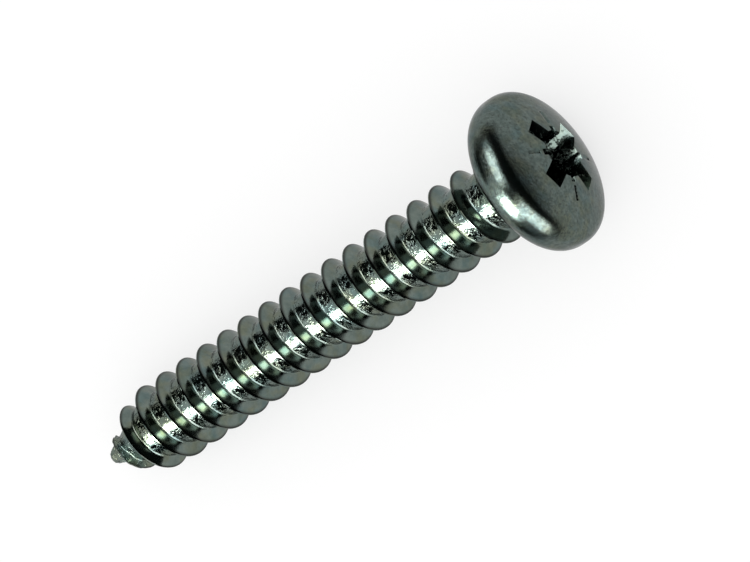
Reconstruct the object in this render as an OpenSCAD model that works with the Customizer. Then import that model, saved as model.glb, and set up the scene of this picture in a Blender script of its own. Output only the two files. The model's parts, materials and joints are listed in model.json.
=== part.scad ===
// Pan head sheet metal screw with a spaced thread, a cone point and a cross recess of type Z.
// All lengths are in millimetres. The screw is one cold-formed piece with a rolled thread.
// It lies as it comes to rest: the rim of its head and one crest near its point touch z = 0.
// Its axis runs along +X from point to head, and the origin is on the floor below its middle.

/* [Thread] */
// Diameter over the crests
thread_d = 4.76; // [3.9:0.01:5.8]
// Diameter at the root
root_d = 3.5; // [2.8:0.01:3.7]
// Distance from one turn to the next
pitch = 1.59; // [1.3:0.01:2]
// Full angle between the two flanks
flank_angle = 60; // [45:1:60]
// Width of the flat on the crest
crest_flat = 0.08; // [0.04:0.01:0.15]
// Length over which the last turn runs out below the neck
run_out_l = 0.7; // [0.5:0.1:1.5]

/* [Shank] */
// Length from the end of the point to the bearing face
shank_l = 30.8; // [12:0.1:80]
// Length of the plain neck below the head
neck_l = 0.6; // [0.6:0.1:2]
// Gap between the reach of the crests and the start of the flat bearing face
seat_clearance = 0.12; // [0.05:0.01:0.3]

/* [Point] */
// Full angle of the cone
point_angle = 45; // [35:1:50]
// Diameter of the blunt end
point_end_d = 0.6; // [0.4:0.05:1]
// Length over which the crests grow to their full diameter
point_thread_l = 4.2; // [3.6:0.1:5]
// Distance from the end of the point to the crest that the screw rests on
rest_crest_at = 3.7; // [3.2:0.01:4.2]

/* [Head] */
// Diameter of the head
head_d = 8.98; // [7.4:0.01:11]
// Height of the head above the bearing face
head_h = 3.25; // [3:0.05:4]
// Height at which the straight side of the head ends
head_side_h = 1.4; // [1.2:0.05:1.6]
// Radius that joins the side to the crown
shoulder_r = 1.05; // [0.5:0.05:1.2]
// Radius of the rounded lower part of the rim
rim_edge_r = 1.2; // [0.3:0.05:1.2]

/* [Recess] */
// Span across two opposite wings where they meet the crown
recess_span = 4.42; // [3.6:0.01:5.3]
// Width of a wing where it meets the crown
wing_w = 1; // [0.8:0.05:1.25]
// Diameter of the hub between the wings
hub_d = 2.3; // [1.9:0.05:2.8]
// Depth of the wings below the top of the crown
recess_depth = 2; // [1.6:0.05:2.4]
// Span of the four narrow ribs between the wings
rib_span = 2.75; // [2.4:0.05:3.3]
// Width of a narrow rib
rib_w = 0.35; // [0.25:0.05:0.5]
// Depth of the narrow ribs below the top of the crown
rib_depth = 1.3; // [0.8:0.05:1.6]
// Turn of the recess about the axis of the screw
recess_turn = 25; // [0:1:89]

/* [Type marks] */
// Radius at which each line on the crown starts
mark_from_r = 1.75; // [1.6:0.05:2.1]
// Length of each line
mark_l = 0.9; // [0.5:0.05:1.2]
// Width of each line
mark_w = 0.16; // [0.08:0.02:0.24]

/* [Hidden] */
// Names of the separate pieces

// Steps in one turn of the thread, and facets of the round surfaces
turn_steps = 40;
round_fn = 96;
// Reach of a cutter past the surface that it cuts
cut_past = 0.4;
// Depth to which the threaded shank is sunk into the neck
neck_overlap = 0.2;
// Amount by which the neck stands proud of the last turn's run-out
neck_step = 0.03;
// Least ridge height that the flanks are laid out for, where a turn starts or ends
least_ridge = 0.1;
// Angle at which the rounded lower part of the rim meets the bearing face
rim_meets = 20;
// Slopes of the recess walls from its axis
wing_end_slope = tan(26.5);
wing_side_slope = tan(4.4);
hub_slope = tan(7.75);
rib_slope = tan(12);
// Depth of the hub's wall below the floors of the wings
hub_past = 0.1;
// Half the angle of the conical floor of the hub
floor_half_angle = 60;

thread_r = thread_d / 2;
root_r = root_d / 2;
point_end_r = point_end_d / 2;
head_r = head_d / 2;
seat_r = thread_r + seat_clearance;
neck_z = shank_l - neck_l;
crown_z = shank_l + head_h;
run_out_z = neck_z - run_out_l;
flank_slope = tan(flank_angle / 2);

// The thread is rolled, so the blank held the same metal as the root and the ridge on it
ridge_h = thread_r - root_r;
ridge_area = ridge_h * (crest_flat + ridge_h * flank_slope);
ridge_mid_r = root_r + ridge_h / 3;
neck_r = sqrt(root_r * root_r + 2 * ridge_area * ridge_mid_r / pitch);
end_r = neck_r - neck_step;

// Height at which the head is widest, and the radius where its bearing face ends
rim_mid_h = rim_edge_r * cos(rim_meets);
seat_end_r = head_r - rim_edge_r + rim_edge_r * sin(rim_meets);

// Radius of the crown, which meets the shoulder and keeps the head's height
crown_rise = head_h - head_side_h;
shoulder_in = head_r - shoulder_r;
crown_r = (shoulder_in ^ 2 + crown_rise ^ 2 - shoulder_r ^ 2) / (2 * (crown_rise - shoulder_r));

// Rise and angle of one step of the thread, and the steps from one end to the other
step_rise = pitch / turn_steps;
step_angle = 360 / turn_steps;
lead_in = crest_flat / 2 + least_ridge * flank_slope + step_rise;
steps_to_rest = floor((rest_crest_at - lead_in) / step_rise);
first_z = rest_crest_at - steps_to_rest * step_rise;
first_angle = -steps_to_rest * step_angle;
top_z = neck_z + neck_overlap;
last_step = floor((top_z - lead_in - first_z) / step_rise);

// Smooth change from 0 to 1 as u goes from 0 to 1
function ease(u) = (1 - cos(180 * min(1, max(0, u)))) / 2;

// Radius of the solid below the thread, at z from the end of the point
function core_r(z) =
    let (body = min(root_r, point_end_r + z * tan(point_angle / 2)))
    body + (end_r - body) * ease((z - run_out_z) / run_out_l);

// Radius that the crest reaches at z
function crest_r(z) =
    let (left = max(0, 1 - z / point_thread_l))
    let (body = thread_r * (1 - left * left))
    body + (end_r - body) * ease((z - run_out_z) / run_out_l);

// Height of the ridge at z
function ridge_at(z) = max(0, crest_r(z) - core_r(z));

// Lay the screw down: both the rounded rim and the resting crest touch the floor
rest_r = crest_r(rest_crest_at);
rim_in = head_r - rim_edge_r - rest_r;
rim_along = shank_l + rim_mid_h - rest_crest_at;
rest_tilt = acos(-rim_edge_r / norm([rim_in, rim_along])) - atan2(rim_along, rim_in);
rest_lift = rest_r * cos(rest_tilt) - rest_crest_at * sin(rest_tilt);
far_x = (crown_z - crown_r) * cos(rest_tilt) + crown_r;
near_x = -point_end_r * sin(rest_tilt);

// Four points of the ridge's section at one step: lower base, two on the crest, upper base
function section_points(n) =
    let (z = first_z + n * step_rise)
    let (angle = first_angle + n * step_angle)
    let (h = ridge_at(z))
    let (flat = crest_flat / 2)
    let (base = flat + max(h, least_ridge) * flank_slope)
    [for (p = [[-base, 0], [-flat, h], [flat, h], [base, 0]])
        let (r = core_r(z + p[0]) + p[1])
        [r * cos(angle), r * sin(angle), z + p[0]]];

// A ring of points at z, with the same angles as the steps
function ring_points(r, z) =
    [for (i = [0 : turn_steps - 1])
        let (angle = first_angle + i * step_angle)
        [r * cos(angle), r * sin(angle), z]];

// Places of the points in the list: the end ring, the steps, then the ring in the neck
function end_ring(i) = i % turn_steps;
function section(n, k) = turn_steps + 4 * n + k;
function neck_ring(i) = turn_steps + 4 * (last_step + 1) + i % turn_steps;

// Two triangles between a lower edge from a to b and an upper edge from d to c
function quad(a, b, c, d) = [[a, d, c], [a, c, b]];

// Triangles from the first point of an outline to each of its other edges
function fan(outline) =
    [for (i = [1 : len(outline) - 2]) [outline[0], outline[i + 1], outline[i]]];

function join_lists(lists) = [for (list = lists) each list];

// The ridge itself, then the root between one turn and the next
function ridge_faces() =
    join_lists([for (n = [0 : last_step - 1], k = [0 : 2])
        quad(section(n, k), section(n + 1, k), section(n + 1, k + 1), section(n, k + 1))]);
function root_faces() =
    join_lists([for (n = [0 : last_step - turn_steps - 1])
        quad(section(n, 3), section(n + 1, 3),
            section(n + 1 + turn_steps, 0), section(n + turn_steps, 0))]);

// The wall from the blunt end up to the first turn, closed by a fan at the start of the ridge
function end_wall_faces() = concat(
    join_lists([for (i = [0 : turn_steps - 2])
        quad(end_ring(i), end_ring(i + 1), section(i + 1, 0), section(i, 0))]),
    fan([end_ring(turn_steps - 1), end_ring(0),
        section(0, 0), section(0, 1), section(0, 2), section(0, 3),
        section(turn_steps, 0), section(turn_steps - 1, 0)]));

// The wall from the last turn up into the neck, closed by a fan at the end of the ridge
top_turn = last_step - turn_steps;
function neck_wall_faces() = concat(
    join_lists([for (n = [top_turn + 1 : last_step - 1])
        quad(section(n, 3), section(n + 1, 3), neck_ring(n + 1), neck_ring(n))]),
    fan([section(top_turn + 1, 3), neck_ring(top_turn + 1), neck_ring(top_turn),
        section(last_step, 3), section(last_step, 2), section(last_step, 1),
        section(last_step, 0), section(top_turn, 3)]));

// Point, root and ridge as one closed solid
module threaded_shank() {
    polyhedron(
        points = concat(
            ring_points(point_end_r, 0),
            join_lists([for (n = [0 : last_step]) section_points(n)]),
            ring_points(end_r, top_z)),
        faces = concat(
            [[for (i = [0 : turn_steps - 1]) end_ring(i)]],
            [[for (i = [turn_steps - 1 : -1 : 0]) neck_ring(i)]],
            ridge_faces(),
            root_faces(),
            end_wall_faces(),
            neck_wall_faces()),
        convexity = 12);
}

// Half section of the neck, with the fillet that runs out into the bearing face
module neck_section() {
    fillet_r = seat_r - neck_r;
    difference() {
        translate([0, neck_z]) square([seat_r, shank_l + head_side_h - neck_z]);
        translate([seat_r, shank_l - fillet_r]) circle(fillet_r, $fn = round_fn);
        translate([neck_r, neck_z - cut_past])
            square([seat_r, shank_l - fillet_r - neck_z + cut_past]);
    }
}

// Half section of the head: crown, shoulder, straight side and rounded lower part of the rim
module head_section() {
    crown_mid = head_h - crown_r;
    shoulder_turn = atan2(shoulder_in, head_side_h - crown_mid);
    reach = crown_r + cut_past;
    translate([0, shank_l]) {
        intersection() {
            translate([0, crown_mid]) circle(crown_r, $fn = 3 * round_fn);
            polygon([[0, 0], [shoulder_in, head_side_h],
                [reach * sin(shoulder_turn), crown_mid + reach * cos(shoulder_turn)],
                [0, crown_mid + reach]]);
        }
        translate([shoulder_in, head_side_h]) circle(shoulder_r, $fn = round_fn);
        translate([0, rim_mid_h]) square([head_r, head_side_h - rim_mid_h]);
        square([head_r - rim_edge_r, head_side_h]);
        intersection() {
            translate([head_r - rim_edge_r, rim_mid_h]) circle(rim_edge_r, $fn = round_fn);
            translate([head_r - rim_edge_r - cut_past, 0]) square([head_r, head_side_h]);
        }
    }
}

// Neck and head, before the recess is struck
module blank() {
    rotate_extrude($fn = 3 * round_fn) {
        neck_section();
        head_section();
    }
}

// A straight blade through the axis that narrows with depth, from its top down to a depth
module tapered_blade(span, width, end_slope, side_slope, mouth, depth) {
    low = [span - 2 * (depth - mouth) * end_slope, width - 2 * (depth - mouth) * side_slope];
    high = [span + 2 * (mouth + cut_past) * end_slope,
        width + 2 * (mouth + cut_past) * side_slope];
    translate([0, 0, crown_z - depth])
        linear_extrude(depth + cut_past, scale = [high[0] / low[0], high[1] / low[1]])
            square(low, center = true);
}

// Depth of the crown's surface below its top at radius r
function crown_drop(r) = crown_r - sqrt(crown_r * crown_r - r * r);

// Cross recess: four wings, the round hub with its conical floor, and four narrow ribs
module cross_recess() {
    mouth = crown_drop(recess_span / 2);
    hub_depth = recess_depth + hub_past;
    hub_low_r = hub_d / 2 - (hub_depth - mouth) * hub_slope;
    hub_high_r = hub_d / 2 + (mouth + cut_past) * hub_slope;
    floor_h = hub_low_r / tan(floor_half_angle);
    for (turn = [0, 90])
        rotate([0, 0, turn])
            tapered_blade(recess_span, wing_w, wing_end_slope, wing_side_slope,
                mouth, recess_depth);
    for (turn = [45, 135])
        rotate([0, 0, turn])
            tapered_blade(rib_span, rib_w, rib_slope, wing_side_slope,
                crown_drop(rib_span / 2), rib_depth);
    translate([0, 0, crown_z - hub_depth])
        rotate_extrude($fn = round_fn)
            polygon([[0, -floor_h], [hub_low_r, 0],
                [hub_high_r, hub_depth + cut_past], [0, hub_depth + cut_past]]);
}

// The four short lines between the wings, each a groove of V section along the crown
module type_marks() {
    mid_r = mark_from_r + mark_l / 2;
    groove = mark_w / sqrt(2);
    for (turn = [45 : 90 : 315])
        rotate([0, 0, turn])
            translate([mid_r, 0, crown_z - crown_drop(mid_r)])
                rotate([45, asin(mid_r / crown_r), 0])
                    cube([mark_l, groove, groove], center = true);
}

// The whole screw, upright with the end of its point at the origin
module upright_screw() {
    threaded_shank();
    difference() {
        blank();
        rotate([0, 0, recess_turn]) {
            cross_recess();
            type_marks();
        }
    }
}

module screw() {
    color([0.62, 0.65, 0.62])
        translate([-(far_x + near_x) / 2, 0, rest_lift])
            rotate([0, 90 - rest_tilt, 0])
                upright_screw();
}

screw();
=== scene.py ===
# Sheet metal screw of zinc plated steel, lying on its side on a pale floor
import json
import math

import bmesh
import bpy
from mathutils import Matrix, Vector, noise


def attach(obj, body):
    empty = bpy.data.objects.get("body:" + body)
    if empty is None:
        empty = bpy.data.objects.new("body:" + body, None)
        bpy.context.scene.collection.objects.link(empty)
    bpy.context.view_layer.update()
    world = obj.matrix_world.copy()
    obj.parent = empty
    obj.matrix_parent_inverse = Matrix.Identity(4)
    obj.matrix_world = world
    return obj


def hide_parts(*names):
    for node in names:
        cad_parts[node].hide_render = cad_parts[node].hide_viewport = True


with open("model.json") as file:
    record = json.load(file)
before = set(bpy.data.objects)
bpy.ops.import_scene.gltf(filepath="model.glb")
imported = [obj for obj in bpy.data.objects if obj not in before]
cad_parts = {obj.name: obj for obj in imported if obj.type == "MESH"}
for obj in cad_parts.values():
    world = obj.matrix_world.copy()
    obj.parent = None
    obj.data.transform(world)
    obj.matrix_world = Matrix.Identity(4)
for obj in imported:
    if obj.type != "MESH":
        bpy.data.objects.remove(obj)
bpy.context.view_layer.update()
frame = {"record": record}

bl_info = {
    "name": "Sheet metal screw",
    "version": (1, 0, 0),
    "blender": (4, 5, 0),
    "location": "3D View > Sidebar > Screw",
    "description": "Builds a pan head sheet metal screw with a cross recess, and its studio",
    "category": "Add Mesh",
}

MM = 0.001


def mount(name):
    """Give the place in millimetres and the direction of one of the record's mounts."""
    for entry in frame["record"]["mounts"]:
        if entry["name"] == name:
            return Vector(entry["pos_m"]) / MM, Vector(entry["axis"]).normalized()
    raise RuntimeError("the record has no mount named " + name)


# The screw's own axis from its point to its head, and the top of its crown
crown_top, along = mount("driver_recess")
level = Vector((0.0, 1.0, 0.0))
rise = along.cross(level).normalized()


class ScrewThread(bpy.types.PropertyGroup):
    """Sizes of the thread, the shank and the point"""
    crest_d: bpy.props.FloatProperty(
        name="Crest diameter", description="Diameter over the crests of the thread",
        default=0.00476, min=0.0039, max=0.0058, precision=5, subtype="DISTANCE", unit="LENGTH")
    root_d: bpy.props.FloatProperty(
        name="Root diameter", description="Diameter between the turns of the thread",
        default=0.0035, min=0.0028, max=0.0037, precision=5, subtype="DISTANCE", unit="LENGTH")
    pitch: bpy.props.FloatProperty(
        name="Pitch", description="Distance from one turn to the next",
        default=0.00159, min=0.0013, max=0.002, precision=5, subtype="DISTANCE", unit="LENGTH")
    flank_angle: bpy.props.FloatProperty(
        name="Flank angle", description="Full angle between the two flanks",
        default=math.radians(60), min=math.radians(45), max=math.radians(60), subtype="ANGLE",
        unit="ROTATION")
    crest_flat: bpy.props.FloatProperty(
        name="Crest width", description="Width of the narrow land on the crest",
        default=0.00008, min=0.00004, max=0.00015, precision=5, subtype="DISTANCE", unit="LENGTH")
    root_fillet: bpy.props.FloatProperty(
        name="Root fillet", description="Radius of the rounding where a flank meets the root",
        default=0.00014, min=0.00005, max=0.0004, precision=5, subtype="DISTANCE", unit="LENGTH")
    shank_l: bpy.props.FloatProperty(
        name="Shank length", description="Length from the end of the point to the bearing face",
        default=0.0308, min=0.012, max=0.08, precision=5, subtype="DISTANCE", unit="LENGTH")
    neck_l: bpy.props.FloatProperty(
        name="Neck length", description="Length of the plain neck below the head",
        default=0.0006, min=0.0006, max=0.002, precision=5, subtype="DISTANCE", unit="LENGTH")
    run_out_l: bpy.props.FloatProperty(
        name="Run-out length", description="Length over which the last turn runs out",
        default=0.0007, min=0.0005, max=0.0015, precision=5, subtype="DISTANCE", unit="LENGTH")
    end_d: bpy.props.FloatProperty(
        name="Run-out diameter", description="Diameter of the shank where the last turn has run out",
        default=0.0038139, min=0.003, max=0.0045, precision=5, subtype="DISTANCE", unit="LENGTH")
    point_angle: bpy.props.FloatProperty(
        name="Point angle", description="Full angle of the cone at the point",
        default=math.radians(45), min=math.radians(35), max=math.radians(50), subtype="ANGLE",
        unit="ROTATION")
    point_end_d: bpy.props.FloatProperty(
        name="Point end diameter", description="Diameter of the blunt end of the point",
        default=0.0006, min=0.0004, max=0.001, precision=5, subtype="DISTANCE", unit="LENGTH")
    point_thread_l: bpy.props.FloatProperty(
        name="Point thread length", description="Length over which the crests grow to full size",
        default=0.0042, min=0.0036, max=0.005, precision=5, subtype="DISTANCE", unit="LENGTH")
    rest_crest_at: bpy.props.FloatProperty(
        name="Resting crest", description="Distance from the point's end to the crest it rests on",
        default=0.0037, min=0.0032, max=0.0042, precision=5, subtype="DISTANCE", unit="LENGTH")
    torn_l: bpy.props.FloatProperty(
        name="Torn length", description="Length of the rough metal left where the point is pinched off",
        default=0.0026, min=0.0, max=0.005, precision=5, subtype="DISTANCE", unit="LENGTH")
    waviness: bpy.props.FloatProperty(
        name="Waviness", description="Unevenness that the rolling dies leave on the thread",
        default=0.000006, min=0.0, max=0.00003, precision=6, subtype="DISTANCE", unit="LENGTH")


class ScrewHead(bpy.types.PropertyGroup):
    """Sizes of the pan head and its recess"""
    head_d: bpy.props.FloatProperty(
        name="Head diameter", description="Diameter of the head",
        default=0.00898, min=0.0074, max=0.011, precision=5, subtype="DISTANCE", unit="LENGTH")
    head_h: bpy.props.FloatProperty(
        name="Head height", description="Height of the head above the bearing face",
        default=0.00325, min=0.003, max=0.004, precision=5, subtype="DISTANCE", unit="LENGTH")
    side_h: bpy.props.FloatProperty(
        name="Side height", description="Height at which the straight side of the head ends",
        default=0.0014, min=0.0012, max=0.0016, precision=5, subtype="DISTANCE", unit="LENGTH")
    shoulder_r: bpy.props.FloatProperty(
        name="Shoulder radius", description="Radius that joins the side to the crown",
        default=0.00105, min=0.0005, max=0.0012, precision=5, subtype="DISTANCE", unit="LENGTH")
    rim_r: bpy.props.FloatProperty(
        name="Rim radius", description="Radius of the rounded lower part of the rim",
        default=0.0012, min=0.0003, max=0.0012, precision=5, subtype="DISTANCE", unit="LENGTH")
    seat_d: bpy.props.FloatProperty(
        name="Seat diameter", description="Diameter at which the flat bearing face starts",
        default=0.005, min=0.0042, max=0.006, precision=5, subtype="DISTANCE", unit="LENGTH")
    neck_d: bpy.props.FloatProperty(
        name="Neck diameter", description="Diameter of the plain neck",
        default=0.0038739, min=0.003, max=0.0045, precision=5, subtype="DISTANCE", unit="LENGTH")
    recess_span: bpy.props.FloatProperty(
        name="Recess span", description="Span across two opposite wings at the crown",
        default=0.0046, min=0.0036, max=0.0053, precision=5, subtype="DISTANCE", unit="LENGTH")
    wing_w: bpy.props.FloatProperty(
        name="Wing width", description="Width of a wing at the crown",
        default=0.0011, min=0.0008, max=0.00125, precision=5, subtype="DISTANCE", unit="LENGTH")
    hub_d: bpy.props.FloatProperty(
        name="Hub diameter", description="Diameter of the hub between the wings",
        default=0.00275, min=0.0019, max=0.0028, precision=5, subtype="DISTANCE", unit="LENGTH")
    recess_depth: bpy.props.FloatProperty(
        name="Recess depth", description="Depth of the wings below the top of the crown",
        default=0.002, min=0.0016, max=0.0024, precision=5, subtype="DISTANCE", unit="LENGTH")
    rib_span: bpy.props.FloatProperty(
        name="Rib span", description="Span of the narrow ribs between the wings",
        default=0.0033, min=0.0024, max=0.0033, precision=5, subtype="DISTANCE", unit="LENGTH")
    rib_w: bpy.props.FloatProperty(
        name="Rib width", description="Width of a narrow rib",
        default=0.00035, min=0.00025, max=0.0005, precision=5, subtype="DISTANCE", unit="LENGTH")
    rib_depth: bpy.props.FloatProperty(
        name="Rib depth", description="Depth of the narrow ribs below the top of the crown",
        default=0.0013, min=0.0008, max=0.0016, precision=5, subtype="DISTANCE", unit="LENGTH")
    recess_turn: bpy.props.FloatProperty(
        name="Recess turn", description="Turn of the recess about the screw's axis",
        default=math.radians(22.5), min=0.0, max=math.radians(89), subtype="ANGLE", unit="ROTATION")
    mark_from_r: bpy.props.FloatProperty(
        name="Line start", description="Radius at which each line on the crown starts",
        default=0.00185, min=0.0016, max=0.0021, precision=5, subtype="DISTANCE", unit="LENGTH")
    mark_l: bpy.props.FloatProperty(
        name="Line length", description="Length of each line on the crown",
        default=0.0008, min=0.0005, max=0.0012, precision=5, subtype="DISTANCE", unit="LENGTH")
    mark_w: bpy.props.FloatProperty(
        name="Line width", description="Width of each line on the crown",
        default=0.00018, min=0.00008, max=0.00024, precision=5, subtype="DISTANCE", unit="LENGTH")
    edge_r: bpy.props.FloatProperty(
        name="Recess edge", description="Rounding of the edge between the crown and the recess",
        default=0.00005, min=0.00002, max=0.0001, precision=5, subtype="DISTANCE", unit="LENGTH")


class ScrewFinish(bpy.types.PropertyGroup):
    """Colours of the zinc plating"""
    zinc: bpy.props.FloatVectorProperty(
        name="Zinc", description="Colour of the bright zinc plating",
        default=(0.163, 0.195, 0.174), min=0.0, max=1.0, size=3, subtype="COLOR")
    dull: bpy.props.FloatVectorProperty(
        name="Dull zinc", description="Colour of the dull patches in the plating",
        default=(0.105, 0.135, 0.122), min=0.0, max=1.0, size=3, subtype="COLOR")
    head: bpy.props.FloatVectorProperty(
        name="Head tint", description="Colour that the duller plating of the head is multiplied by",
        default=(0.85, 0.87, 0.89), min=0.0, max=1.0, size=3, subtype="COLOR")
    stain: bpy.props.FloatVectorProperty(
        name="Stain", description="Colour of the fine dark mottling on the head",
        default=(0.05, 0.066, 0.06), min=0.0, max=1.0, size=3, subtype="COLOR")
    warm: bpy.props.FloatVectorProperty(
        name="Warm film", description="Colour of the yellowish film that lies on some of the plating",
        default=(1.0, 0.9, 0.72), min=0.0, max=1.0, size=3, subtype="COLOR")
    cool: bpy.props.FloatVectorProperty(
        name="Cool film", description="Colour of the bluish film that lies on some of the plating",
        default=(0.72, 0.9, 1.0), min=0.0, max=1.0, size=3, subtype="COLOR")
    # Dark colour of the small pits on the head, and painted shade along the crest edges of the thread
    worn: bpy.props.FloatVectorProperty(
        name="Worn crest", description="Colour of the dark worn crests",
        default=(0.035, 0.038, 0.034), min=0.0, max=1.0, size=3, subtype="COLOR")
    # Painted shade: the colour that the recess darkens to with depth
    deep: bpy.props.FloatVectorProperty(
        name="Recess", description="Colour of the dark metal deep in the recess",
        default=(0.055, 0.07, 0.062), min=0.0, max=1.0, size=3, subtype="COLOR")
    gloss: bpy.props.FloatProperty(
        name="Roughness", description="Roughness of the bright plating",
        default=0.05, min=0.03, max=0.6, subtype="FACTOR")


class ScrewStudio(bpy.types.PropertyGroup):
    """Colours and levels of the studio"""
    floor: bpy.props.FloatVectorProperty(
        name="Floor", description="Colour of the pale floor",
        default=(0.4, 0.4, 0.4), min=0.0, max=1.0, size=3, subtype="COLOR")
    key: bpy.props.FloatProperty(
        name="Key card", description="Level of the small bright card above the point",
        default=40.0, min=0.0, max=90.0)
    windows: bpy.props.FloatProperty(
        name="Windows", description="Level of the two wide cards beside the screw",
        default=6.5, min=0.0, max=40.0)
    sweep: bpy.props.FloatProperty(
        name="Sweep", description="Level of the pale backdrop beyond the point",
        default=1.4, min=0.0, max=10.0)
    below: bpy.props.FloatProperty(
        name="Floor glow", description="Light that the white sweep adds to the floor",
        default=0.63, min=0.0, max=1.0)
    lens: bpy.props.FloatProperty(
        name="Lens", description="Focal length of the camera",
        default=286.18, min=35.0, max=400.0, subtype="DISTANCE_CAMERA", unit="CAMERA")


def ease(u):
    """Change smoothly from 0 to 1 as u goes from 0 to 1."""
    return (1 - math.cos(math.pi * min(1.0, max(0.0, u)))) / 2


class ThreadShape:
    """The thread's rules in millimetres: radius of the core and of the crest along the screw."""

    def __init__(self, sizes):
        self.crest = sizes.crest_d / MM / 2
        self.root = sizes.root_d / MM / 2
        self.pitch = sizes.pitch / MM
        self.slope = math.tan(sizes.flank_angle / 2)
        self.flat = sizes.crest_flat / MM / 2
        self.fillet = sizes.root_fillet / MM
        self.end = sizes.end_d / MM / 2
        self.neck_z = (sizes.shank_l - sizes.neck_l) / MM
        self.run_out_l = sizes.run_out_l / MM
        self.point_r = sizes.point_end_d / MM / 2
        self.point_slope = math.tan(sizes.point_angle / 2)
        self.point_l = sizes.point_thread_l / MM
        self.rest_z = sizes.rest_crest_at / MM
        self.waviness = sizes.waviness / MM
        self.torn_l = sizes.torn_l / MM

    def run_out(self, z):
        return ease((z - self.neck_z + self.run_out_l) / self.run_out_l)

    def core_r(self, z):
        body = min(self.root, max(0.1, self.point_r + z * self.point_slope))
        return body + (self.end - body) * self.run_out(z)

    def crest_r(self, z):
        left = max(0.0, 1 - z / self.point_l)
        body = self.crest * (1 - left * left)
        return body + (self.end - body) * self.run_out(z)

    def ridge(self, z):
        return max(0.0, self.crest_r(z) - self.core_r(z))

    def reach(self, z):
        """Distance along the screw from the middle of a crest to the foot of its flank."""
        return self.flat + max(self.ridge(z), 0.1) * self.slope


# Rows of one turn: shares of a flank with how much painted shade of the crest edge they get, tilts of the
# fillet, shares of the root
FLANK_ROWS = ((0.07, 1.0), (0.14, 0.5), (0.26, 0.0), (0.5, 0.0), (0.76, 0.0))
FILLET_TILTS = (60, 42, 27, 14, 0)
ROOT_SHARES = (0.125, 0.25, 0.375, 0.5, 0.625, 0.75, 0.875)
# How far past the foot of a flank the fillet starts, in fillet radii, for 60 degree flanks
FILLET_START = math.tan(math.radians(30))
TURN_STEPS = 100
# The cut at the point, and the rings of its blunt end: height in millimetres, share of its radius
POINT_CUT_Z = 0.12
END_RINGS = ((0.06, 0.95), (0.025, 0.8), (0.0, 0.52))
# Points nearer than this are one, in millimetres: on lathed forms, after the recess is cut, on the
# wound thread and where the crown is sliced
MERGE = 0.0001
CUT_MERGE = 0.0002
WELD = 0.0004
SLICE_MERGE = 0.0005
# Heights that differ by less than this are level
LEVEL = 0.001
# Radius at which the thread's noise is sampled, and the radius below which the lumps fade
NOISE_R = 2.1
LUMP_FADE_R = 0.6


def half_section(shape, z):
    """Give the rows from the middle of a crest to its foot: distance along and height."""
    ridge = shape.ridge(z)
    reach = shape.reach(z)
    span = reach - shape.flat
    rows = [(0.0, ridge), (shape.flat * 0.72, ridge * 0.998), (shape.flat, ridge * 0.98)]
    for share, worn in FLANK_ROWS:
        rows.append((shape.flat + span * share, ridge * (1 - share)))
    soft = min(shape.fillet, ridge * 0.4)
    for tilt in FILLET_TILTS:
        lean = math.radians(tilt)
        along_row = reach + soft * (FILLET_START - math.sin(lean))
        rows.append((along_row, soft * (1 - math.cos(lean))))
    return rows


def section_rows(shape, z):
    """Give all rows of one pitch: distance along and height over the core."""
    lower = half_section(shape, z)
    upper = half_section(shape, z + shape.pitch)
    start = lower[-1][0]
    stop = shape.pitch - upper[-1][0]
    rows = list(lower)
    for share in ROOT_SHARES:
        rows.append((start + (stop - start) * share, 0.0))
    for distance, height in reversed(upper):
        rows.append((shape.pitch - distance, height))
    return rows


def row_kinds():
    """Say for each row how much of it is crest edge, darkened as painted shade, and how much is root."""
    half = [(0.1, 0.0), (0.3, 0.0), (1.0, 0.0)] + [(worn, 0.0) for share, worn in FLANK_ROWS]
    half += [(0.0, 1 - tilt / FILLET_TILTS[0]) for tilt in FILLET_TILTS]
    return half + [(0.0, 1.0)] * len(ROOT_SHARES) + half[::-1]


def cut_through(bm, z, **cleared):
    """Cut a whole mesh level at a height and clear one side of the cut."""
    bmesh.ops.bisect_plane(
        bm, geom=bm.verts[:] + bm.edges[:] + bm.faces[:], dist=MERGE,
        plane_co=(0, 0, z), plane_no=(0, 0, 1), **cleared)


def rolled_wave(spot, crest_part, root_part):
    """Unevenness left by the dies: broad everywhere, finer on the root and on the crest."""
    wave = noise.noise(spot * 1.7) * (0.4 + root_part)
    wave += noise.noise(spot * 5.0 + Vector((9, 2, 5))) * 0.5 * root_part
    return wave + noise.noise(spot * 4.0 + Vector((3, 8, 1))) * 1.2 * crest_part


def torn_lumps(spot):
    """Lumps in millimetres of the metal that was pinched off at the point."""
    return noise.noise(spot * 1.1 + Vector((0, 4, 2))) * 0.16 + noise.noise(spot * 3.1) * 0.08


def blunt_point(bm, point_r):
    """Cut the point short of its end, then draw its ring in to a rough blunt end."""
    cut_through(bm, POINT_CUT_Z, clear_inner=True)
    rim = [edge for edge in bm.edges if edge.is_boundary
           and all(abs(vert.co.z - POINT_CUT_Z) < LEVEL for vert in edge.verts)]
    placed = []
    for z, share in END_RINGS:
        grown = bmesh.ops.extrude_edge_only(bm, edges=rim)["geom"]
        ring = [item for item in grown if isinstance(item, bmesh.types.BMVert)]
        rim = [item for item in grown if isinstance(item, bmesh.types.BMEdge) and item.is_boundary]
        radius = point_r * share
        for vert in ring:
            out = Vector((vert.co.x, vert.co.y, 0.0)).normalized()
            rough = noise.noise(out * 1.6 + Vector((0, 0, z * 9))) * 0.035
            vert.co = out * (radius + rough) + Vector((0, 0, z + 0.5 * abs(rough)))
        placed += ring
    bmesh.ops.contextual_create(bm, geom=rim)
    bmesh.ops.remove_doubles(bm, verts=placed, dist=WELD)


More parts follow.
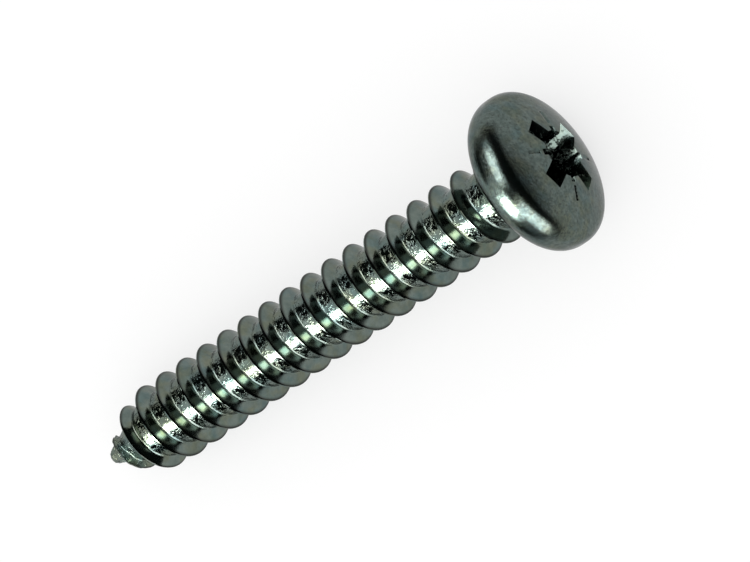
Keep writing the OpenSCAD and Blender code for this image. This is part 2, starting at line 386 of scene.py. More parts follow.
def build_shank(sizes):
    """Wind the thread by a screw-like spin, blunt its point and cut it where the neck starts."""
    shape = ThreadShape(sizes)
    step = shape.pitch / TURN_STEPS
    steps_to_rest = math.ceil((shape.rest_z + 1.05 * shape.pitch) / step)
    first_z = shape.rest_z - steps_to_rest * step
    turns = math.ceil((shape.neck_z + 0.2 - first_z) / shape.pitch)
    kinds = row_kinds()
    spacing = shape.pitch / (len(kinds) - 1)

    bm = bmesh.new()
    row_layer = bm.verts.layers.int.new("row")
    zone_layer = bm.verts.layers.float_color.new("zones")
    verts = []
    for index in range(len(kinds)):
        vert = bm.verts.new((shape.root, 0.0, first_z + index * spacing))
        vert[row_layer] = index
        verts.append(vert)
    edges = [bm.edges.new(pair) for pair in zip(verts, verts[1:])]
    bmesh.ops.spin(
        bm, geom=verts + edges, cent=(0, 0, 0), axis=(0, 0, 1), dvec=(0, 0, step),
        angle=math.tau, steps=TURN_STEPS, use_merge=False,
        use_normal_flip=False, use_duplicate=False)
    one_turn = bm.verts[:] + bm.edges[:] + bm.faces[:]
    for turn in range(1, turns):
        copied = bmesh.ops.duplicate(bm, geom=one_turn)["geom"]
        next_turn = [item for item in copied if isinstance(item, bmesh.types.BMVert)]
        bmesh.ops.translate(bm, verts=next_turn, vec=(0, 0, turn * shape.pitch))

    # Every point of a row knows its step by its height, so the flanks can follow the ridge
    known = {}
    for vert in bm.verts:
        row = vert[row_layer]
        turn_step = round((vert.co.z - first_z - row * spacing) / step)
        if turn_step not in known:
            known[turn_step] = section_rows(shape, first_z + turn_step * step)
        distance, height = known[turn_step][row]
        z = first_z + turn_step * step + distance
        crest_part, root_part = kinds[row]
        angle = math.tau * (turn_step - steps_to_rest) / TURN_STEPS
        spot = Vector((math.cos(angle) * NOISE_R, math.sin(angle) * NOISE_R, z))
        wave = rolled_wave(spot, crest_part, root_part)
        radius = shape.core_r(z) + height + wave * shape.waviness
        torn = max(0.0, 1 - max(0.0, z) / shape.torn_l) if shape.torn_l else 0.0
        radius += torn_lumps(spot) * torn * min(1.0, radius / LUMP_FADE_R)
        vert.co = Vector((math.cos(angle) * radius, math.sin(angle) * radius, z))
        shown_torn = min(1.0, 2 * torn)
        # Zones: crest edge, which the material darkens as painted shade; root or torn point; torn point
        vert[zone_layer] = (crest_part, max(root_part, shown_torn), shown_torn, 0.0)
    bmesh.ops.remove_doubles(bm, verts=bm.verts, dist=WELD)

    blunt_point(bm, shape.point_r)
    # Cut the shank where the neck starts and leave it open for the head
    cut_through(bm, shape.neck_z, clear_outer=True)
    return bm


# Steps of the head's lathe and of the hub's
HEAD_STEPS = 144
HUB_STEPS = 48
# Radius of the flat crown that is struck, and spacing of the grid by which it is domed
FLAT_R = 3.1
GRID = 0.13
# Depth at which the painted shade in the recess is darkest
RECESS_SHADE_DEPTH = 0.7
# Slopes of the recess: the wings' ends, every side wall, the ribs' ends, the hub's wall and floor
WING_END_SLOPE = math.tan(math.radians(26.5))
SIDE_SLOPE = math.tan(math.radians(4.4))
RIB_END_SLOPE = math.tan(math.radians(12))
HUB_SLOPE = math.tan(math.radians(7.75))
HUB_FLOOR_SLOPE = math.tan(math.radians(60))
# How far the cutters stand above the crown, and how far the hub's wall runs below the wings
ABOVE = 0.4
HUB_PAST = 0.1


def arc(centre, radius, start, stop, count):
    """Give points on an arc in the half plane of a lathed section; angles from the axis's side."""
    points = []
    for index in range(count + 1):
        angle = math.radians(start + (stop - start) * index / count)
        points.append((centre[0] + radius * math.cos(angle), centre[1] + radius * math.sin(angle)))
    return points


class HeadShape:
    """The head's section in millimetres, measured from the end of the point."""

    def __init__(self, thread, head):
        self.seat_z = thread.shank_l / MM
        self.top_z = (thread.shank_l + head.head_h) / MM
        self.head_r = head.head_d / MM / 2
        self.side_h = head.side_h / MM
        self.shoulder = head.shoulder_r / MM
        self.rim = head.rim_r / MM
        self.seat_r = head.seat_d / MM / 2
        self.neck_r = head.neck_d / MM / 2
        self.end_r = thread.end_d / MM / 2
        self.neck_z = (thread.shank_l - thread.neck_l) / MM
        inner = self.head_r - self.shoulder
        rise_h = head.head_h / MM - self.side_h
        self.crown_r = (inner ** 2 + rise_h ** 2 - self.shoulder ** 2) / (2 * (rise_h - self.shoulder))
        self.meet = math.degrees(math.atan2(inner, self.side_h - head.head_h / MM + self.crown_r))

    def drop(self, radius):
        """Depth of the crown below its top at a radius."""
        return self.crown_r - math.sqrt(self.crown_r ** 2 - radius ** 2)

    def section(self, flat_r):
        """Give the outline from the neck to the crown at flat_r."""
        fillet = self.seat_r - self.neck_r
        points = [(self.end_r + 0.005, self.neck_z + 0.012), (self.neck_r - 0.006, self.neck_z + 0.02)]
        points += arc((self.seat_r, self.seat_z - fillet), fillet, 180, 90, 8)
        points += [(self.seat_r + 0.4, self.seat_z), (self.seat_r + 0.8, self.seat_z)]
        rim_mid = (self.head_r - self.rim, self.seat_z + self.rim * math.cos(math.radians(20)))
        points += arc(rim_mid, self.rim, -70, 0, 14)
        side_top = self.seat_z + self.side_h
        for share in (0.33, 0.66):
            points.append((self.head_r, rim_mid[1] + (side_top - rim_mid[1]) * share))
        points += arc((self.head_r - self.shoulder, side_top), self.shoulder, 0, 90 - self.meet, 12)
        crown_mid = (0.0, self.top_z - self.crown_r)
        last = math.degrees(math.asin(flat_r / self.crown_r))
        points += arc(crown_mid, self.crown_r, 90 - self.meet, 90 - last, 6)[1:]
        return points


def tapered_box(bm, span, width, end_slope, depth, top_z, turn):
    """Add a blade through the axis that narrows with depth."""
    box = bmesh.ops.create_cube(bm, size=1.0)["verts"]
    for vert in box:
        below = depth if vert.co.z < 0 else -ABOVE
        half_span = span / 2 - below * end_slope
        half_width = width / 2 - below * SIDE_SLOPE
        vert.co = Vector((
            math.copysign(half_span, vert.co.x), math.copysign(half_width, vert.co.y), top_z - below))
    bmesh.ops.rotate(bm, verts=box, cent=(0, 0, 0), matrix=Matrix.Rotation(turn, 3, "Z"))


def build_cutter(shape, head):
    """Add the wings, the ribs, the hub and the four lines as they are cut in a flat crown."""
    bm = bmesh.new()
    turn = head.recess_turn
    depth = head.recess_depth / MM
    for quarter in (0, 90):
        tapered_box(
            bm, head.recess_span / MM, head.wing_w / MM, WING_END_SLOPE, depth, shape.top_z,
            turn + math.radians(quarter))
    for quarter in (45, 135):
        tapered_box(
            bm, head.rib_span / MM, head.rib_w / MM, RIB_END_SLOPE, head.rib_depth / MM, shape.top_z,
            turn + math.radians(quarter))
    hub_depth = depth + HUB_PAST
    low_r = head.hub_d / MM / 2 - hub_depth * HUB_SLOPE
    high_r = head.hub_d / MM / 2 + ABOVE * HUB_SLOPE
    outline = [(0.0, -low_r / HUB_FLOOR_SLOPE), (low_r, 0.0), (high_r, hub_depth + ABOVE),
               (0.0, hub_depth + ABOVE)]
    verts = [bm.verts.new((radius, 0.0, shape.top_z - hub_depth + z)) for radius, z in outline]
    edges = [bm.edges.new(pair) for pair in zip(verts, verts[1:])]
    bmesh.ops.spin(
        bm, geom=verts + edges, cent=(0, 0, 0), axis=(0, 0, 1), angle=math.tau, steps=HUB_STEPS,
        use_merge=True)
    bmesh.ops.remove_doubles(bm, verts=bm.verts, dist=MERGE)

    # Each line is a shallow V groove, so its cutter is a bar on its edge, pressed flat
    groove = head.mark_w / MM / math.sqrt(2)
    length = head.mark_l / MM
    middle = head.mark_from_r / MM + length / 2
    for quarter in (45, 135, 225, 315):
        bar = bmesh.ops.create_cube(bm, size=1.0)["verts"]
        bmesh.ops.scale(bm, verts=bar, vec=(length, groove, groove))
        bmesh.ops.rotate(
            bm, verts=bar, cent=(0, 0, 0), matrix=Matrix.Rotation(math.radians(45), 3, "X"))
        bmesh.ops.scale(bm, verts=bar, vec=(1.0, 1.15, 0.7))
        bmesh.ops.translate(bm, verts=bar, vec=(middle, 0, shape.top_z))
        bmesh.ops.rotate(
            bm, verts=bar, cent=(0, 0, 0),
            matrix=Matrix.Rotation(turn + math.radians(quarter), 3, "Z"))
    bmesh.ops.recalc_face_normals(bm, faces=bm.faces)
    return bm


def mesh_object(bm, name):
    """Put a bmesh in a new object of the scene."""
    mesh = bpy.data.meshes.new(name)
    bm.to_mesh(mesh)
    bm.free()
    thing = bpy.data.objects.new(name, mesh)
    bpy.context.scene.collection.objects.link(thing)
    return thing


def cut_solid(solid, cutter):
    """Cut one solid out of another and give the result as a bmesh."""
    body = mesh_object(solid, "cut_body")
    tool = mesh_object(cutter, "cut_tool")
    cut = body.modifiers.new("cut", "BOOLEAN")
    cut.operation = "DIFFERENCE"
    cut.solver = "EXACT"
    cut.use_self = True
    cut.object = tool
    bpy.context.view_layer.update()
    graph = bpy.context.evaluated_depsgraph_get()
    result = bmesh.new()
    result.from_mesh(bpy.data.meshes.new_from_object(body.evaluated_get(graph)))
    for thing in (body, tool):
        mesh = thing.data
        bpy.data.objects.remove(thing)
        bpy.data.meshes.remove(mesh)
    return result


def round_mouth(bm, shape, recess_r, edge_r):
    """Round the edge where the recess meets the flat crown."""
    mouth = []
    for edge in bm.edges:
        if len(edge.link_faces) != 2:
            continue
        first, second = edge.verts
        if any(abs(vert.co.z - shape.top_z) > LEVEL for vert in edge.verts):
            continue
        tilts = sorted(face.normal.z for face in edge.link_faces)
        if tilts[1] > 0.99 and tilts[0] < 0.6 and max(first.co.xy.length, second.co.xy.length) < recess_r:
            mouth.append(edge)
    bmesh.ops.bevel(
        bm, geom=mouth, offset=edge_r, offset_type="OFFSET", segments=2, profile=0.5,
        affect="EDGES", clamp_overlap=True, material=-1)


def slice_crown(bm, shape, turn):
    """Slice the flat crown and the recess into a fine grid, so that the crown can be domed."""
    count = int(FLAT_R / GRID) + 1
    top_faces = [
        face for face in bm.faces
        if face.calc_center_median().z > shape.seat_z + 0.3
        and max(vert.co.xy.length for vert in face.verts) < FLAT_R + 0.01]
    near = set()
    for face in top_faces:
        near.update(face.verts)
        near.update(face.edges)
    sliced = top_faces + list(near)
    for quarter in (0.0, math.pi / 2):
        normal = Vector((math.cos(turn + quarter), math.sin(turn + quarter), 0.0))
        for index in range(-count, count):
            sliced = bmesh.ops.bisect_plane(
                bm, geom=sliced, dist=SLICE_MERGE,
                plane_co=normal * ((index + 0.5) * GRID), plane_no=normal)["geom"]


def build_head(thread, head):
    """Turn the head on a lathe with a flat crown, strike the recess, then dome the crown."""
    shape = HeadShape(thread, head)
    bm = bmesh.new()
    points = [(radius, z + shape.drop(radius)) for radius, z in shape.section(FLAT_R)]
    verts = [bm.verts.new((radius, 0.0, z)) for radius, z in points]
    edges = [bm.edges.new(pair) for pair in zip(verts, verts[1:])]
    bmesh.ops.spin(
        bm, geom=verts + edges, cent=(0, 0, 0), axis=(0, 0, 1), angle=math.tau, steps=HEAD_STEPS,
        use_merge=True)
    bmesh.ops.remove_doubles(bm, verts=bm.verts, dist=MERGE)
    bmesh.ops.holes_fill(bm, edges=[edge for edge in bm.edges if edge.is_boundary], sides=0)
    bmesh.ops.recalc_face_normals(bm, faces=bm.faces)
    bm = cut_solid(bm, build_cutter(shape, head))
    bmesh.ops.remove_doubles(bm, verts=bm.verts, dist=CUT_MERGE)

    recess_r = head.recess_span / MM / 2 + 0.05
    round_mouth(bm, shape, recess_r, head.edge_r / MM)
    slice_crown(bm, shape, head.recess_turn)
    zone_layer = bm.verts.layers.float_color.get("zones") or bm.verts.layers.float_color.new("zones")
    for vert in bm.verts:
        radius = min(vert.co.xy.length, shape.head_r)
        # Painted shade: the recess gets darker with depth
        deep = min(1.0, max(0.0, (shape.top_z - vert.co.z) / RECESS_SHADE_DEPTH)) if radius < recess_r else 0.0
        vert[zone_layer] = (0.0, 0.0, deep, 1.0)
        vert.co.z -= shape.drop(radius)
    return bm, shape


def close_screw(bm):
    """Join the open ends of the shank and the neck, and check that nothing is left open."""
    ends = [edge for edge in bm.edges if edge.is_boundary]
    bmesh.ops.bridge_loops(bm, edges=ends)
    bmesh.ops.recalc_face_normals(bm, faces=bm.faces)
    open_edges = [edge for edge in bm.edges if not edge.is_manifold]
    if open_edges:
        spots = [tuple(round(value, 3) for value in edge.verts[0].co) for edge in open_edges[:6]]
        raise RuntimeError(f"the screw has {len(open_edges)} open edges, such as at {spots}")


def axes_at(x_way, y_way, z_way, spot):
    """Give the matrix whose three axes point along three directions from a spot."""
    return Matrix((*zip(x_way, y_way, z_way, spot), (0.0, 0.0, 0.0, 1.0)))


def lay_down():
    """Give the turn and shift from the upright screw in millimetres to the frame in metres."""
    crown_z = bpy.context.scene.screw_thread.shank_l / MM + bpy.context.scene.screw_head.head_h / MM
    start = crown_top - along * crown_z
    return Matrix.Scale(MM, 4) @ axes_at(-rise, level, along, start)


# An even stretch for a pattern, and the colours of the lit cards and of the dark room
EVEN = (1.0, 1.0, 1.0)
WHITE = (1.0, 1.0, 1.0)
DARK = (0.012, 0.015, 0.014)


def ramp(tree, source, stops):
    """Spread a value over a row of stops."""
    made = tree.nodes.new("ShaderNodeValToRGB")
    bands = made.color_ramp.elements
    while len(bands) < len(stops):
        bands.new(0.5)
    for band, (place, value) in zip(bands, stops):
        band.position = place
        band.color = (value, value, value, 1.0)
    tree.links.new(source, made.inputs["Fac"])
    return made.outputs["Color"]


def mix_colour(tree, factor, first, second, blend="MIX"):
    """Mix two colours, each a socket or a plain colour."""
    made = tree.nodes.new("ShaderNodeMix")
    made.data_type = "RGBA"
    made.blend_type = blend
    for place, value in ((0, factor), (6, first), (7, second)):
        if isinstance(value, bpy.types.NodeSocket):
            tree.links.new(value, made.inputs[place])
        elif isinstance(value, float):
            made.inputs[place].default_value = value
        else:
            made.inputs[place].default_value = (*value, 1.0)
    return made.outputs[2]


def maths(tree, operation, first, second=0.0, third=0.0):
    """Add one sum, each term a socket or a plain number."""
    made = tree.nodes.new("ShaderNodeMath")
    made.operation = operation
    for place, value in enumerate((first, second, third)):
        if isinstance(value, bpy.types.NodeSocket):
            tree.links.new(value, made.inputs[place])
        else:
            made.inputs[place].default_value = value
    return made.outputs[0]


def bare_material(name):
    """Make a material whose tree holds only its output node."""
    material = bpy.data.materials.new(name)
    material.use_nodes = True
    tree = material.node_tree
    tree.nodes.clear()
    return material, tree, tree.nodes.new("ShaderNodeOutputMaterial")


def zinc_material(finish):
    """Bright zinc plating: mottled crown, rolled and scratched roots, painted shade along the crest edges
    and deep in the recess.
    """
    material, tree, out = bare_material("zinc_plating")
    link = tree.links.new
    shader = tree.nodes.new("ShaderNodeBsdfPrincipled")
    shader.inputs["Metallic"].default_value = 1.0
    shader.inputs["Specular Tint"].default_value = (0.72, 0.72, 0.72, 1.0)
    link(shader.outputs[0], out.inputs["Surface"])

    # Object coordinates in millimetres, turned to run along the screw
    place = tree.nodes.new("ShaderNodeTexCoord")
    turned = tree.nodes.new("ShaderNodeMapping")
    turned.inputs["Rotation"].default_value = (0.0, math.atan2(along.z, along.x), 0.0)
    turned.inputs["Scale"].default_value = (1000.0, 1000.0, 1000.0)
    link(place.outputs["Object"], turned.inputs["Vector"])
    spot = turned.outputs["Vector"]

    # Zones: crest edge for its painted shade, root, depth of the recess for its painted shade on the head
    # and the torn point on the shank, and 1 in Alpha on the head
    zones = tree.nodes.new("ShaderNodeAttribute")
    zones.attribute_name = "zones"
    parts = tree.nodes.new("ShaderNodeSeparateColor")
    link(zones.outputs["Color"], parts.inputs["Color"])
    crest, root, deep = parts.outputs[0], parts.outputs[1], parts.outputs[2]

    def cloud(scale, detail, rough, stretch=None, seed=0.0):
        """Noise along the screw's axes, stretched and shifted."""
        source = spot
        if stretch:
            pulled = tree.nodes.new("ShaderNodeMapping")
            pulled.inputs["Scale"].default_value = stretch
            pulled.inputs["Location"].default_value = (seed, seed * 0.7, seed * 0.3)
            link(spot, pulled.inputs["Vector"])
            source = pulled.outputs["Vector"]
        made = tree.nodes.new("ShaderNodeTexNoise")
        made.inputs["Scale"].default_value = scale
        made.inputs["Detail"].default_value = detail
        made.inputs["Roughness"].default_value = rough
        link(source, made.inputs["Vector"])
        return made.outputs["Fac"]

    # Patches of dull and bright plating over everything
    patches = ramp(tree, cloud(1.6, 5.0, 0.62), ((0.36, 0.0), (0.66, 1.0)))
    fine = ramp(tree, cloud(9.0, 3.0, 0.6, EVEN, 4.0), ((0.3, 0.0), (0.72, 1.0)))
    colour = mix_colour(tree, patches, finish.zinc, finish.dull)
    speck = maths(tree, "MULTIPLY", fine, 0.35)
    colour = mix_colour(tree, speck, colour, finish.dull)

    # Thin yellowish and bluish films
    warm = ramp(tree, cloud(0.9, 3.0, 0.55, EVEN, 11.0), ((0.47, 0.0), (0.62, 1.0)))
    cool = ramp(tree, cloud(0.9, 3.0, 0.55, EVEN, 23.0), ((0.5, 0.0), (0.64, 1.0)))
    colour = mix_colour(tree, maths(tree, "MULTIPLY", warm, 0.75), colour, finish.warm, "MULTIPLY")
    colour = mix_colour(tree, maths(tree, "MULTIPLY", cool, 0.6), colour, finish.cool, "MULTIPLY")

    # The satin head, with small dark pits and a fine mottling
    colour = mix_colour(tree, zones.outputs["Alpha"], colour, finish.head, "MULTIPLY")
    satin = maths(tree, "MULTIPLY", zones.outputs["Alpha"], maths(tree, "SUBTRACT", 1.0, deep))
    holes = ramp(tree, cloud(5.5, 3.0, 0.6, EVEN, 41.0), ((0.34, 1.0), (0.43, 0.0)))
    holes = maths(tree, "MULTIPLY", holes, satin)
    colour = mix_colour(tree, maths(tree, "MULTIPLY", holes, 0.6), colour, finish.worn)
    grain = ramp(tree, cloud(4.6, 4.0, 0.7, EVEN, 53.0), ((0.42, 0.0), (0.6, 1.0)))
    grain = maths(tree, "MULTIPLY", grain, maths(tree, "MULTIPLY", satin, 0.55))
    colour = mix_colour(tree, grain, colour, finish.stain)

    # Painted shade: darker deep in the recess and along the crest edges
    recess = maths(tree, "MULTIPLY", deep, zones.outputs["Alpha"])
    colour = mix_colour(tree, recess, colour, finish.deep)
    colour = mix_colour(tree, crest, colour, finish.worn)
    link(colour, shader.inputs["Base Color"])

    # Rolled streaks run round the root, so they change quickly along the screw
    streaks = cloud(1.2, 6.0, 0.7, (9.0, 1.2, 1.2), 7.0)
    grit = cloud(14.0, 2.0, 0.6, EVEN, 2.0)
    pits = ramp(tree, cloud(3.2, 2.0, 0.55, (1.0, 0.8, 0.8), 5.0), ((0.4, 1.0), (0.56, 0.0)))
    fillet = maths(tree, "MULTIPLY", root, maths(tree, "SUBTRACT", 1.0, root))
    flank = maths(tree, "SUBTRACT", maths(tree, "SUBTRACT", 1.0, root), zones.outputs["Alpha"])

    # Rougher on the fillets, a little on the flanks and the head
    rough = maths(tree, "MULTIPLY_ADD", patches, 0.02, finish.gloss)
    rough = maths(tree, "MULTIPLY_ADD", grit, 0.02, rough)
    rough = maths(tree, "MULTIPLY_ADD", fillet, 1.0, rough)
    rough = maths(tree, "MULTIPLY_ADD", flank, 0.04, rough)
    rough = maths(tree, "MULTIPLY_ADD", satin, 0.1, rough)
    link(rough, shader.inputs["Roughness"])

    # Fine bump: streaks and pits on the root, dents on the head, chips deep in the recess
    height = maths(tree, "MULTIPLY", streaks, maths(tree, "MULTIPLY_ADD", root, 0.1, 0.03))
    height = maths(tree, "MULTIPLY_ADD", maths(tree, "MULTIPLY", pits, root), 0.55, height)
    height = maths(tree, "MULTIPLY_ADD", grit, 0.08, height)
    dents = cloud(6.0, 4.0, 0.75, EVEN, 31.0)
    height = maths(tree, "MULTIPLY_ADD", maths(tree, "MULTIPLY", dents, satin), 0.75, height)
    chips = ramp(tree, cloud(3.4, 3.0, 0.65, EVEN, 17.0), ((0.53, 0.0), (0.62, 1.0)))
    struck = maths(tree, "MULTIPLY_ADD", root, 0.3, deep)
    height = maths(tree, "MULTIPLY_ADD", maths(tree, "MULTIPLY", chips, struck), 1.3, height)
    bump = tree.nodes.new("ShaderNodeBump")
    bump.inputs["Strength"].default_value = 0.6
    bump.inputs["Distance"].default_value = 0.00003
    link(height, bump.inputs["Height"])
    link(bump.outputs["Normal"], shader.inputs["Normal"])
    return material


def plain_glow(name, colour, level):
    """A card that shines evenly."""
    material, tree, out = bare_material(name)
    glow = tree.nodes.new("ShaderNodeEmission")
    glow.inputs["Color"].default_value = (*colour, 1.0)
    glow.inputs["Strength"].default_value = level
    tree.links.new(glow.outputs[0], out.inputs["Surface"])
    return material


def plain_floor(name, colour, glow_level):
    """The matt pale floor, with the even glow of a lit sweep for the camera and the metal."""
    material, tree, out = bare_material(name)
    shader = tree.nodes.new("ShaderNodeBsdfPrincipled")
    shader.inputs["Base Color"].default_value = (*colour, 1.0)
    shader.inputs["Roughness"].default_value = 0.9
    shader.inputs["Specular IOR Level"].default_value = 0.0
    rays = tree.nodes.new("ShaderNodeLightPath")
    seen = maths(tree, "ADD", rays.outputs["Is Camera Ray"], rays.outputs["Is Glossy Ray"])
    seen = maths(tree, "ADD", seen, rays.outputs["Is Transmission Ray"])
    glow = tree.nodes.new("ShaderNodeEmission")
    glow.inputs["Color"].default_value = (1.0, 1.0, 1.0, 1.0)
    tree.links.new(maths(tree, "MULTIPLY", seen, glow_level), glow.inputs["Strength"])
    both = tree.nodes.new("ShaderNodeAddShader")
    tree.links.new(shader.outputs[0], both.inputs[0])
    tree.links.new(glow.outputs[0], both.inputs[1])
    tree.links.new(both.outputs[0], out.inputs["Surface"])
    return material


def fading_dark_sheet(name, colour):
    """A dark sheet that is clear near the screw and solid further out."""
    material, tree, out = bare_material(name)
    glow = tree.nodes.new("ShaderNodeEmission")
    glow.inputs["Color"].default_value = (*colour, 1.0)
    clear = tree.nodes.new("ShaderNodeBsdfTransparent")
    place = tree.nodes.new("ShaderNodeTexCoord")
    axes = tree.nodes.new("ShaderNodeSeparateXYZ")
    tree.links.new(place.outputs["Object"], axes.inputs[0])
    fade = ramp(tree, axes.outputs[0], ((0.028, 0.0), (0.045, 0.42), (0.06, 0.76), (0.12, 1.0)))
    mix = tree.nodes.new("ShaderNodeMixShader")
    tree.links.new(fade, mix.inputs[0])
    tree.links.new(clear.outputs[0], mix.inputs[1])
    tree.links.new(glow.outputs[0], mix.inputs[2])
    tree.links.new(mix.outputs[0], out.inputs["Surface"])
    return material


# The photo's camera: its aim from the screw's point and its distance in millimetres, its lean
# from the screw's axis and its roll
CAMERA_AIM = 20.19
CAMERA_DISTANCE = 314.9
CAMERA_LEAN = math.radians(58.60)
CAMERA_ROLL = math.radians(34.18)
# Radius of the floor and level of the dark room's rim, in metres
FLOOR_R = 2.5
ROOM_RIM_Z = 0.002


def unseen_card(thing):
    """Let a card show only in the metal, as a studio flag just out of the picture does."""
    for rays in ("camera", "diffuse", "shadow", "transmission", "volume_scatter"):
        setattr(thing, "visible_" + rays, False)


def card(name, centre, direction, up, width, height, material):
    """Add a flat card at a centre, facing back along a direction."""
    bm = bmesh.new()
    bmesh.ops.create_grid(bm, x_segments=1, y_segments=1, size=0.5)
    back = -direction.normalized()
    side = up.cross(back).normalized()
    top = back.cross(side)
    bmesh.ops.transform(bm, matrix=axes_at(side * width, top * height, back, centre), verts=bm.verts)
    thing = mesh_object(bm, name)
    thing.data.materials.append(material)
    return thing


def curved_strip(name, middle, radius, lean, turn, material):
    """Add a strip spun about the screw's axis; lean is its angles from the axis, turn about it."""
    bm = bmesh.new()
    verts = []
    for share in (0.0, 0.25, 0.5, 0.75, 1.0):
        psi = math.radians(lean[0] + (lean[1] - lean[0]) * share)
        phi = math.radians(turn[0])
        way = math.cos(psi) * along + math.sin(psi) * (math.cos(phi) * rise + math.sin(phi) * level)
        verts.append(bm.verts.new(middle + way * radius))
    edges = [bm.edges.new(pair) for pair in zip(verts, verts[1:])]
    bmesh.ops.spin(
        bm, geom=verts + edges, cent=middle, axis=along, angle=math.radians(turn[0] - turn[1]), steps=24,
        use_merge=turn[0] - turn[1] == 360)
    thing = mesh_object(bm, name)
    thing.data.materials.append(material)
    return thing


def add_camera(scene, lens):
    """Add the photo's camera, which looks down on the screw and is rolled about its view."""
    data = bpy.data.cameras.new("photo_camera")
    data.lens = lens
    data.sensor_width = 36.0
    data.clip_start = 0.01
    data.clip_end = 20.0
    camera = bpy.data.objects.new("photo_camera", data)
    scene.collection.objects.link(camera)
    crown_z = (scene.screw_thread.shank_l + scene.screw_head.head_h) / MM
    aim = crown_top - along * (crown_z - CAMERA_AIM)
    view = along * math.cos(CAMERA_LEAN) + rise * math.sin(CAMERA_LEAN)
    across = along * math.sin(CAMERA_LEAN) - rise * math.cos(CAMERA_LEAN)
    right = across * math.cos(CAMERA_ROLL) - level * math.sin(CAMERA_ROLL)
    up = across * math.sin(CAMERA_ROLL) + level * math.cos(CAMERA_ROLL)
    spot = (aim + view * CAMERA_DISTANCE) * MM
    camera.matrix_world = axes_at(right, up, view, spot)
    scene.camera = camera


# Edges that turn more than this stay sharp
SHARP_ANGLE = math.radians(38)


class SCREW_OT_build(bpy.types.Operator):
    """Build the screw: its threaded shank, its point, its pan head and its recess"""
    bl_idname = "screw.build"
    bl_label = "Screw"
    bl_options = {"REGISTER", "UNDO"}

    def execute(self, context):
        scene = context.scene
        bm = build_shank(scene.screw_thread)
        head, head_shape = build_head(scene.screw_thread, scene.screw_head)
        floor_of_neck = [
            face for face in head.faces
            if len(face.verts) == HEAD_STEPS and face.calc_center_median().z < head_shape.seat_z]
        bmesh.ops.delete(head, geom=floor_of_neck, context="FACES_ONLY")
        spare = bpy.data.meshes.new("head_spare")
        head.to_mesh(spare)
        head.free()
        bm.from_mesh(spare)
        bpy.data.meshes.remove(spare)
        close_screw(bm)
        bmesh.ops.triangulate(bm, faces=[face for face in bm.faces if len(face.verts) > 4])
        bmesh.ops.transform(bm, matrix=lay_down(), verts=bm.verts)
        for face in bm.faces:
            face.smooth = True
        piece = mesh_object(bm, "screw_zinc")
        piece.data.set_sharp_from_angle(angle=SHARP_ANGLE)
        piece.data.materials.append(zinc_material(scene.screw_finish))
        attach(piece, "root")
        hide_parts("screw")
        print("screw triangles", sum(len(face.vertices) - 2 for face in piece.data.polygons))
        return {"FINISHED"}


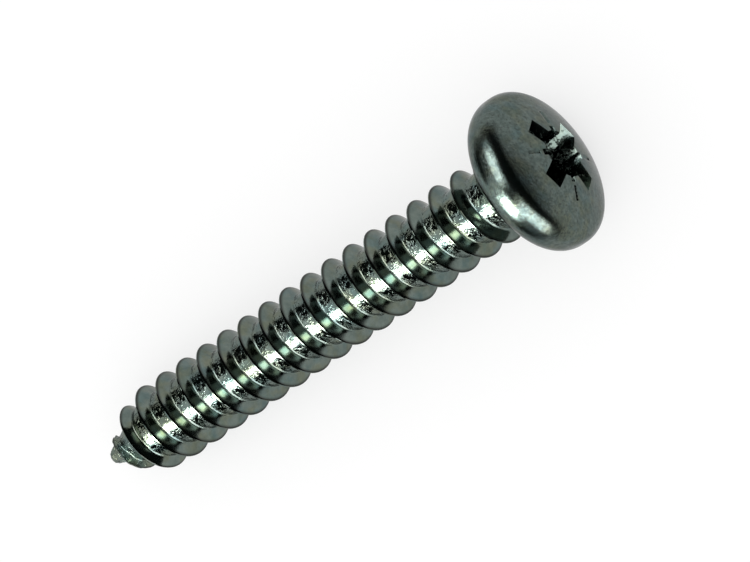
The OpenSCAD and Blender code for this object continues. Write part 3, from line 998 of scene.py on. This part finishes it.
class SCREW_OT_studio(bpy.types.Operator):
    """Add the pale floor, the cards, the light and the camera"""
    bl_idname = "screw.studio"
    bl_label = "Studio"
    bl_options = {"REGISTER", "UNDO"}

    def execute(self, context):
        scene = context.scene
        studio = scene.screw_studio
        bm = bmesh.new()
        bmesh.ops.create_circle(bm, cap_ends=True, segments=96, radius=FLOOR_R)
        floor = mesh_object(bm, "studio_floor")
        floor.data.materials.append(plain_floor("pale_floor", studio.floor, studio.below))

        # A dark room above the floor, seen only by the metal
        dark = plain_glow("dark_room", DARK, 1.0)
        bm = bmesh.new()
        bmesh.ops.create_uvsphere(bm, u_segments=48, v_segments=24, radius=1.0)
        cut_through(bm, ROOM_RIM_Z, clear_inner=True)
        room = mesh_object(bm, "studio_room")
        room.data.materials.append(dark)
        unseen_card(room)

        # Curved cards about the screw's axis, each by its angles from the axis and about it
        middle = Vector((0.0, 0.0, 0.006))
        window = plain_glow("window_glow", WHITE, studio.windows)
        dim = plain_glow("dim_glow", WHITE, studio.windows * 0.2)
        sweep = plain_glow("sweep_glow", (0.95, 1.0, 1.0), studio.sweep)
        key = plain_glow("key_glow", (1.0, 0.97, 0.9), studio.key)
        halo = plain_glow("halo_glow", (0.94, 1.0, 0.96), studio.key * 0.25)
        cards = (
            ("left_window", 0.45, (54, 107), (-22, -75), window),
            ("right_window", 0.45, (66, 107), (56, 12), window),
            ("right_dim", 0.46, (78, 110), (72, 56), dim),
            ("key_card", 0.44, (112, 127), (-8, -30), key),
            ("key_halo", 0.45, (108, 132), (-4, -35), halo),
            ("near_sweep", 0.48, (104, 151), (26, -40), sweep),
            ("far_sweep", 0.49, (150, 180), (180, -180), sweep),
        )
        for name, radius, lean, turn, material in cards:
            strip = curved_strip(name, middle, radius, lean, turn, material)
            unseen_card(strip)

        # A dark sheet lies on the floor beyond the head and fades in with distance, so the metal sees the
        # floor darker further out
        dark_sheet = card(
            "dark_floor_sheet", Vector((0.52, 0.0, 0.0004)), Vector((0, 0, -1)), Vector((0, 1, 0)), 1.0, 2.0,
            fading_dark_sheet("dark_floor_sheet", DARK))
        unseen_card(dark_sheet)

        # Soft even light for the floor
        world = bpy.data.worlds.new("studio_air")
        world.use_nodes = True
        background = world.node_tree.nodes["Background"]
        background.inputs["Color"].default_value = (1.0, 1.0, 1.0, 1.0)
        background.inputs["Strength"].default_value = 1.0
        scene.world = world

        add_camera(scene, studio.lens)
        scene.view_settings.view_transform = "Standard"
        return {"FINISHED"}


class SCREW_PT_panel(bpy.types.Panel):
    """Lists the sizes, the colours and the steps"""
    bl_label = "Sheet metal screw"
    bl_idname = "SCREW_PT_panel"
    bl_space_type = "VIEW_3D"
    bl_region_type = "UI"
    bl_category = "Screw"

    def draw(self, context):
        for group in ("screw_thread", "screw_head", "screw_finish", "screw_studio"):
            values = getattr(context.scene, group)
            box = self.layout.box()
            for name in values.bl_rna.properties.keys():
                if name not in ("rna_type", "name"):
                    box.prop(values, name)
        self.layout.operator("screw.build")
        self.layout.operator("screw.studio")


GROUPS = {
    "screw_thread": ScrewThread,
    "screw_head": ScrewHead,
    "screw_finish": ScrewFinish,
    "screw_studio": ScrewStudio,
}
CLASSES = (*GROUPS.values(), SCREW_OT_build, SCREW_OT_studio, SCREW_PT_panel)


def register():
    for kind in CLASSES:
        bpy.utils.register_class(kind)
    for name, kind in GROUPS.items():
        setattr(bpy.types.Scene, name, bpy.props.PointerProperty(type=kind))


def unregister():
    for name in GROUPS:
        delattr(bpy.types.Scene, name)
    for kind in reversed(CLASSES):
        bpy.utils.unregister_class(kind)


def main():
    """Build the screw and the studio in order; the build prints the screw's triangle count."""
    register()
    bpy.ops.screw.build()
    bpy.ops.screw.studio()


if __name__ == "__main__":
    main()
